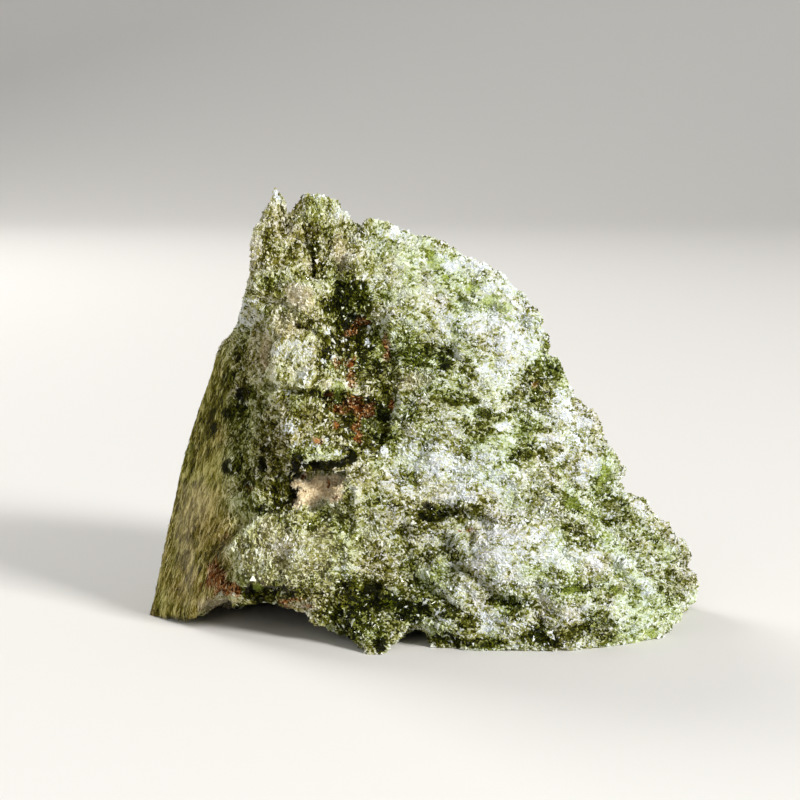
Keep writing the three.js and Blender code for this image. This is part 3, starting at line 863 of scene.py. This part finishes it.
def stained(finish, colour, shade, speckle, cloud):
    """The colour under tan and rusty stains and with yellow-green windows, and how much of it is window."""
    rust, tan, glass = (finish.attribute(name) for name in ("rust", "tan", "glass"))
    sandy = (tan * (TAN_LEAST + cloud * TAN_CLOUD)).clamped()
    colour = finish.mixed(sandy, colour, finish.colours(shade, SANDY))
    broken = (rust + cloud.swing(RUST_CLOUD) + speckle.swing(RUST_SPECKLE)).above(*RUST_EDGE)
    colour = finish.mixed(broken * rust.above(*RUST_REACH), colour, finish.colours(shade, RUSTY))
    window = (glass + speckle.swing(WINDOW_SPECKLE)).above(*WINDOW_EDGE)
    return finish.mixed(window * WINDOW_STRENGTH, colour, WINDOW), window


def diopside():
    """What shows between the grains: the same green crystal, darker and dull, with a fine bump."""
    finish = Finish("diopside")
    place = finish.node("ShaderNodeTexCoord").outputs["Object"]
    pale = finish.attribute("pale")
    flat = finish.attribute("flat")
    speckle = finish.noise(place, *SPECKLE)
    cloud = finish.noise(place, *CLOUD)
    shade = pale * STONE_CONTRAST - STONE_DROP + speckle.swing(STONE_SPECKLE) + cloud.swing(STONE_CLOUD)
    shade = shade.clamped()
    colour, window = stained(finish, finish.greens(shade, flat), speckle, speckle, cloud)
    bump = {"Strength": BUMP_STRENGTH, "Distance": BUMP_DEPTH * MM, "Height": speckle}
    shader = finish.node("ShaderNodeBsdfPrincipled", {}, {
        "Base Color": colour, "Roughness": (STONE_DULLNESS - window * WINDOW_POLISH).clamped(),
        "Normal": finish.node("ShaderNodeBump", {}, bump).outputs[0], "Specular IOR Level": STONE_SPECULAR,
    })
    finish.node("ShaderNodeOutputMaterial", {}, {"Surface": shader.outputs[0]})
    return finish.material


def sugary():
    """The grains: each has its own shade, from green-black to white, and some shine."""
    finish = Finish("sugary grains")
    place = finish.node("ShaderNodeTexCoord").outputs["Object"]
    pale = finish.attribute("pale")
    flat = finish.attribute("flat")
    chance = finish.attribute("chance")
    speckle = finish.noise(place, *GRAIN_SPECKLE)
    cloud = finish.noise(place, *CLOUD)
    middling = pale.clamped() * (1 - pale.clamped())
    spread = (LEAST_SPREAD + middling * MORE_SPREAD) * (1 - flat * FACE_EVENNESS)
    shade = (pale + chance.swing(spread) + speckle.swing(SPECKLE_SPREAD)).at_least(pale * LEAST_SHADE)
    # grains in the frost patches turn bluish white: frost, and painted highlights
    white = (finish.attribute("frost") * FROST_AND_HIGHLIGHT_GAIN).clamped() * shade.above(*FROST_AND_HIGHLIGHT_SHADES)
    body = finish.mixed(white, finish.greens(shade.clamped(), flat), FROST_AND_HIGHLIGHT_WHITE)
    stain_shade = chance * STAIN_CHANCE + speckle * (1 - STAIN_CHANCE)
    colour, _ = stained(finish, body, stain_shade, speckle, cloud)
    shader = finish.node("ShaderNodeBsdfPrincipled", {}, {
        "Base Color": colour, "Roughness": GRAIN_DULLNESS - chance.above(*SHINING) * SHINE,
        "Coat Weight": chance.above(*COATED), "Coat Roughness": COAT_ROUGHNESS,
        "Specular IOR Level": GRAIN_SPECULAR,
    })
    finish.node("ShaderNodeOutputMaterial", {}, {"Surface": shader.outputs[0]})
    return finish.material


def stone():
    piece = fine_copy(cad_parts["crystal"])
    roughened(piece)
    for name, values in finish_values(positions(piece.data), directions(piece.data)).items():
        keep_on_surface(piece.data, name, values)
    piece.data.materials.clear()
    piece.data.materials.append(diopside())
    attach(piece, "root")
    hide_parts("crystal")
    sugar = sugary()
    for layer, (name, lengths) in enumerate(GRAIN_LAYERS.items()):
        grains(piece.data, name, lengths, SEED + layer).data.materials.append(sugar)


def floor():
    """A pale sheet that lies flat and then rises behind the stone in a quarter circle."""
    angles = np.linspace(0, math.pi / 2, FLOOR_STEPS)
    wall = FLOOR_BACK + FLOOR_BEND
    depth = np.concatenate([[FLOOR_FRONT], FLOOR_BACK + FLOOR_BEND * np.sin(angles), [wall]])
    height = np.concatenate([[0], FLOOR_BEND - FLOOR_BEND * np.cos(angles), [FLOOR_TOP]])
    side = np.array([-FLOOR_WIDTH, FLOOR_WIDTH]) / 2
    corners = np.stack([np.repeat(side, len(depth)), np.tile(depth, 2), np.tile(height, 2)], axis=1)
    row = np.arange(len(depth) - 1)
    faces = np.stack([row, row + len(depth), row + len(depth) + 1, row + 1], axis=1)
    mesh = bpy.data.meshes.new("floor")
    mesh.from_pydata(corners.tolist(), [], faces.tolist())
    mesh.polygons.foreach_set("use_smooth", np.ones(len(faces), dtype=bool))
    sheet = bpy.data.objects.new("floor", mesh)
    bpy.context.scene.collection.objects.link(sheet)
    finish = Finish("pale floor")
    sockets = {"Base Color": FLOOR_COLOUR, "Roughness": FLOOR_ROUGHNESS}
    shader = finish.node("ShaderNodeBsdfPrincipled", {}, sockets)
    finish.node("ShaderNodeOutputMaterial", {}, {"Surface": shader.outputs[0]})
    mesh.materials.append(finish.material)


def aimed(thing, place, target):
    thing.location = place
    thing.rotation_euler = (Vector(target) - Vector(place)).to_track_quat("-Z", "Y").to_euler()
    bpy.context.scene.collection.objects.link(thing)


def soft_light(name, place, size, power, colour):
    light = bpy.data.lights.new(name, "AREA")
    light.size = size
    light.energy = power
    light.color = colour
    aimed(bpy.data.objects.new(name, light), place, LIGHTS_AIM)


def studio():
    for light in LIGHTS:
        soft_light(*light)
    world = bpy.data.worlds.new("room")
    world.use_nodes = True
    background = world.node_tree.nodes["Background"]
    background.inputs["Color"].default_value = ROOM_COLOUR
    background.inputs["Strength"].default_value = ROOM_STRENGTH
    bpy.context.scene.world = world
    bpy.context.scene.view_settings.view_transform = "Standard"


def camera():
    lens = bpy.data.cameras.new("camera")
    lens.lens = LENS
    lens.sensor_width = SENSOR
    lens.clip_start = NEAREST_SEEN
    eye = bpy.data.objects.new("camera", lens)
    aimed(eye, LOOK_AT + Vector(VIEW_BACK) * CAMERA_DISTANCE, LOOK_AT)
    bpy.context.scene.camera = eye


stone()
floor()
studio()
camera()
